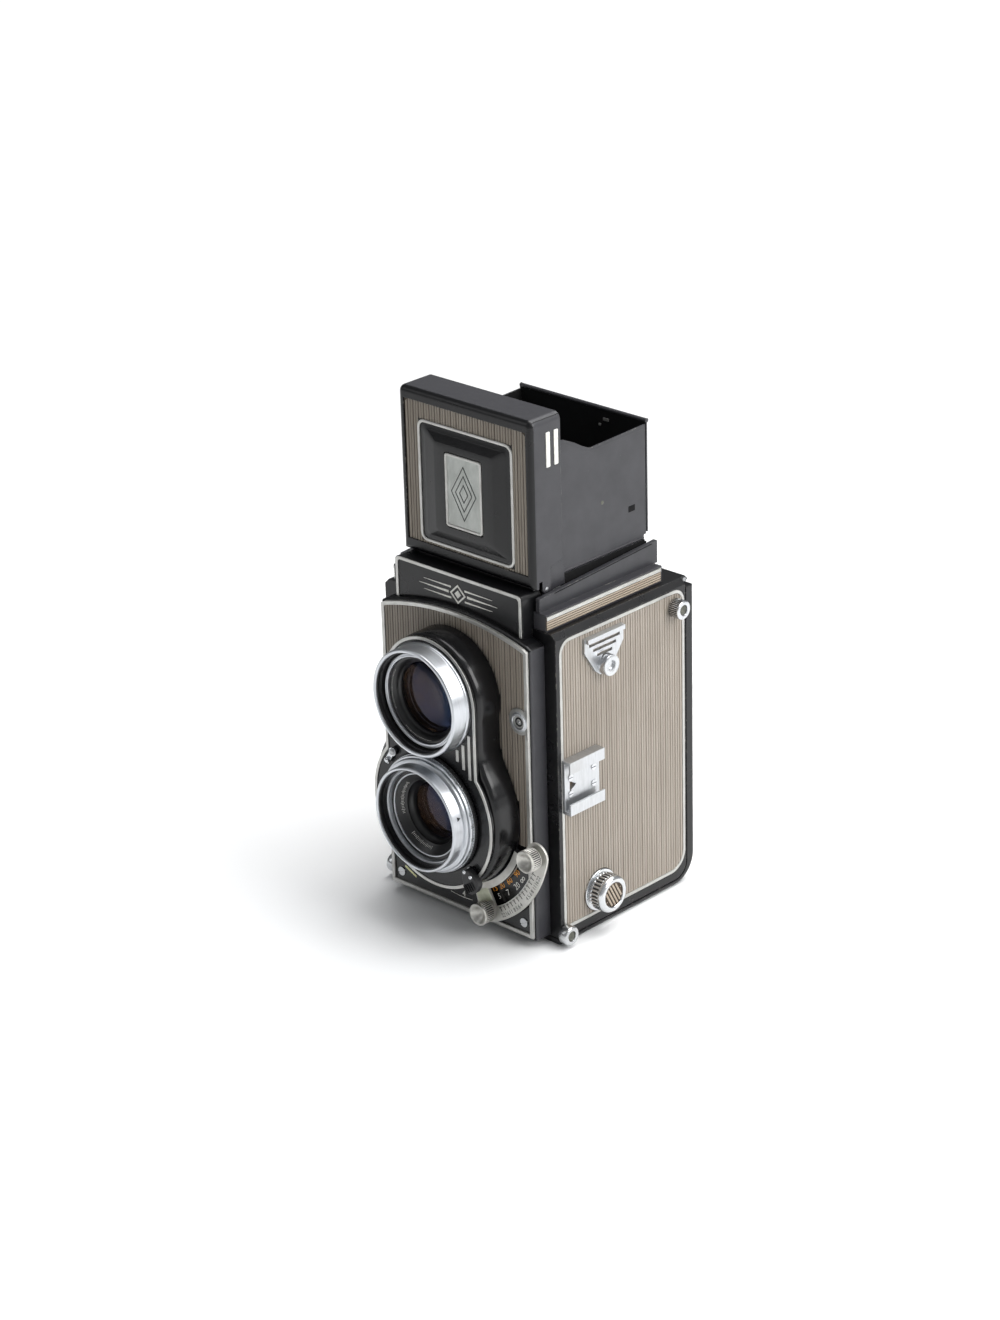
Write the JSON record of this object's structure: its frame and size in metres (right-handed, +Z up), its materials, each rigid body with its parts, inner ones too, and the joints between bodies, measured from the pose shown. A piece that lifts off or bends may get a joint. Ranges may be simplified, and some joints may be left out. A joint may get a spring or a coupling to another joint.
{
  "type": "twin lens reflex camera",
  "caption": "Twin lens reflex camera for 6x6 roll film with a raised folding hood, sliding lens board, lever focusing, hinged back and winding knob.",
  "frame": {"origin": "centre of the tripod socket's mouth, on the base", "axes": "+Z up, -Y the way the lenses look, +X to the right of someone facing the lenses"},
  "size_m": [0.1024, 0.1055, 0.2],
  "materials": {
    "black_paint": "satin black enamel",
    "black_matte": "matt black, anti-reflection",
    "ribbed_covering": "warm grey-beige leatherette with fine ribs",
    "bright_trim": "polished, slightly warm",
    "chrome": "bright, knurled or turned",
    "satin_chrome": "satin",
    "steel": "brushed",
    "badge_metal": "fine sandblast",
    "spool_plastic": "moulded black",
    "lens_glass": "coated, faint violet and amber",
    "screen_glass": "ground",
    "mirror": "front-silvered",
    "brass": "turned"
  },
  "bodies": {
    "body": {"body_shell": "black_paint", "mirror_frame": "black_matte", "mirror": "mirror", "ground_glass": "screen_glass", "light_chamber": "black_matte", "case_studs": "chrome", "tripod_bush": "steel", "front_plate": "black_paint", "front_trim": "bright_trim", "front_covering": "ribbed_covering", "scale_panel": "black_paint", "screws": "steel", "lens_shroud": "black_paint", "flash_socket": "chrome", "nameplate": "black_paint", "nameplate_outline": "bright_trim", "side_coverings": "ribbed_covering", "side_trims": "bright_trim", "accessory_shoe": "satin_chrome", "strap_lugs": "satin_chrome", "hood_base": "black_paint", "hood_strips": "ribbed_covering", "back_hinge_pin": "steel"},
    "focus_ring": {"focus_lever": "satin_chrome", "focus_knobs": "chrome"},
    "front_standard": {"lens_board": "black_paint", "board_outline": "bright_trim", "viewing_barrel": "chrome", "viewing_mount": "black_matte", "viewing_lens": "lens_glass", "taking_barrel": "chrome", "taking_mount": "black_matte", "taking_lens": "lens_glass", "shutter_housing": "black_matte", "shutter_blades": "steel", "aperture_blades": "black_matte", "guide_rods": "steel"},
    "speeds": {"speed_ring": "satin_chrome"},
    "apertures": {"aperture_ring": "black_paint"},
    "release": {"release_lever": "black_paint"},
    "sync": {"sync_lever": "chrome"},
    "winder": {"wind_knob": "chrome"},
    "takeup": {"takeup_spool": "spool_plastic"},
    "supply": {"supply_spool": "spool_plastic"},
    "roller_low": {"film_roller_lower": "steel"},
    "roller_high": {"film_roller_upper": "steel"},
    "supply_pin": {"supply_knob": "chrome"},
    "back": {"back_cover": "black_paint", "back_covering": "ribbed_covering", "pressure_plate": "black_matte"},
    "latch": {"back_latch": "satin_chrome"},
    "lid": {"hood_lid": "black_paint", "lid_covering": "ribbed_covering", "lid_trim": "bright_trim", "lid_badge": "badge_metal"},
    "flap_left": {"left_flap": "black_paint"},
    "flap_right": {"right_flap": "black_paint"},
    "flap_rear": {"rear_flap": "black_paint"},
    "magnifier": {"magnifier_arm": "black_matte", "magnifier_lens": "lens_glass"}
  },
  "joints": [
    {"name": "focus_swing", "type": "hinge", "parent": "body", "child": "focus_ring", "pos_m": [0, -0.045, 0.04916], "axis": [0, 1, 0], "range_deg": [0, 101]},
    {"name": "board_slide", "type": "slide", "parent": "body", "child": "front_standard", "axis": [0, -1, 0], "range_m": [0, 0.0078]},
    {"name": "speed_turn", "type": "hinge", "parent": "front_standard", "child": "speeds", "pos_m": [0, -0.0605, 0.04916], "axis": [0, 1, 0], "range_deg": [0, 110]},
    {"name": "aperture_turn", "type": "hinge", "parent": "front_standard", "child": "apertures", "pos_m": [0, -0.0588, 0.04916], "axis": [0, 1, 0], "range_deg": [0, 60]},
    {"name": "release_press", "type": "hinge", "parent": "front_standard", "child": "release", "pos_m": [0.018, -0.059, 0.0316], "axis": [0, 1, 0], "range_deg": [0, 16]},
    {"name": "sync_move", "type": "hinge", "parent": "front_standard", "child": "sync", "pos_m": [-0.0186, -0.059, 0.0679], "axis": [0, 1, 0], "range_deg": [0, 25]},
    {"name": "wind_turn", "type": "hinge", "parent": "body", "child": "winder", "pos_m": [-0.045, 0.0225, 0.1005], "axis": [1, 0, 0], "continuous": true},
    {"name": "takeup_turn", "type": "hinge", "parent": "body", "child": "takeup", "pos_m": [0, 0.0225, 0.1005], "axis": [1, 0, 0], "continuous": true},
    {"name": "supply_turn", "type": "hinge", "parent": "body", "child": "supply", "pos_m": [0, -0.0153, 0.0152], "axis": [1, 0, 0], "continuous": true},
    {"name": "roller_low_turn", "type": "hinge", "parent": "body", "child": "roller_low", "pos_m": [0, 0.0254, 0.0134], "axis": [1, 0, 0], "continuous": true},
    {"name": "roller_high_turn", "type": "hinge", "parent": "body", "child": "roller_high", "pos_m": [0, 0.0254, 0.0844], "axis": [1, 0, 0], "continuous": true},
    {"name": "supply_pull", "type": "slide", "parent": "body", "child": "supply_pin", "axis": [1, 0, 0], "range_m": [0, 0.005]},
    {"name": "back_open", "type": "hinge", "parent": "body", "child": "back", "pos_m": [0, 0.0356, 0.1214], "axis": [1, 0, 0], "range_deg": [0, 110]},
    {"name": "latch_turn", "type": "hinge", "parent": "body", "child": "latch", "pos_m": [0, -0.025, 0.001], "axis": [0, 0, 1], "range_deg": [0, 90]},
    {"name": "hood_close", "type": "hinge", "parent": "body", "child": "lid", "pos_m": [0, -0.0316, 0.142], "axis": [-1, 0, 0], "range_deg": [0, 90], "deforming": ["left_flap", "right_flap", "rear_flap"]},
    {"name": "left_flap_fold", "type": "hinge", "parent": "body", "child": "flap_left", "pos_m": [-0.03055, 0.002, 0.1379], "axis": [0, 1, 0], "range_deg": [0, 90]},
    {"name": "right_flap_fold", "type": "hinge", "parent": "body", "child": "flap_right", "pos_m": [0.03055, 0.002, 0.139], "axis": [0, -1, 0], "range_deg": [0, 90]},
    {"name": "rear_flap_fold", "type": "hinge", "parent": "body", "child": "flap_rear", "pos_m": [0, 0.02575, 0.1401], "axis": [1, 0, 0], "range_deg": [0, 90]},
    {"name": "magnifier_swing", "type": "hinge", "parent": "lid", "child": "magnifier", "pos_m": [0, -0.03175, 0.186], "axis": [-1, 0, 0], "range_deg": [-90, 0]}
  ],
  "couplings": [
    {"joint": "focus_swing", "follows": "board_slide", "rad_per_m": 226},
    {"joint": "takeup_turn", "follows": "wind_turn", "ratio": 1},
    {"joint": "supply_turn", "follows": "wind_turn", "ratio": 1},
    {"joint": "roller_low_turn", "follows": "wind_turn", "ratio": 2.6},
    {"joint": "roller_high_turn", "follows": "wind_turn", "ratio": 2.6},
    {"joint": "left_flap_fold", "follows": "hood_close", "ratio": 1},
    {"joint": "right_flap_fold", "follows": "hood_close", "ratio": 1},
    {"joint": "rear_flap_fold", "follows": "hood_close", "ratio": 1}
  ]
}
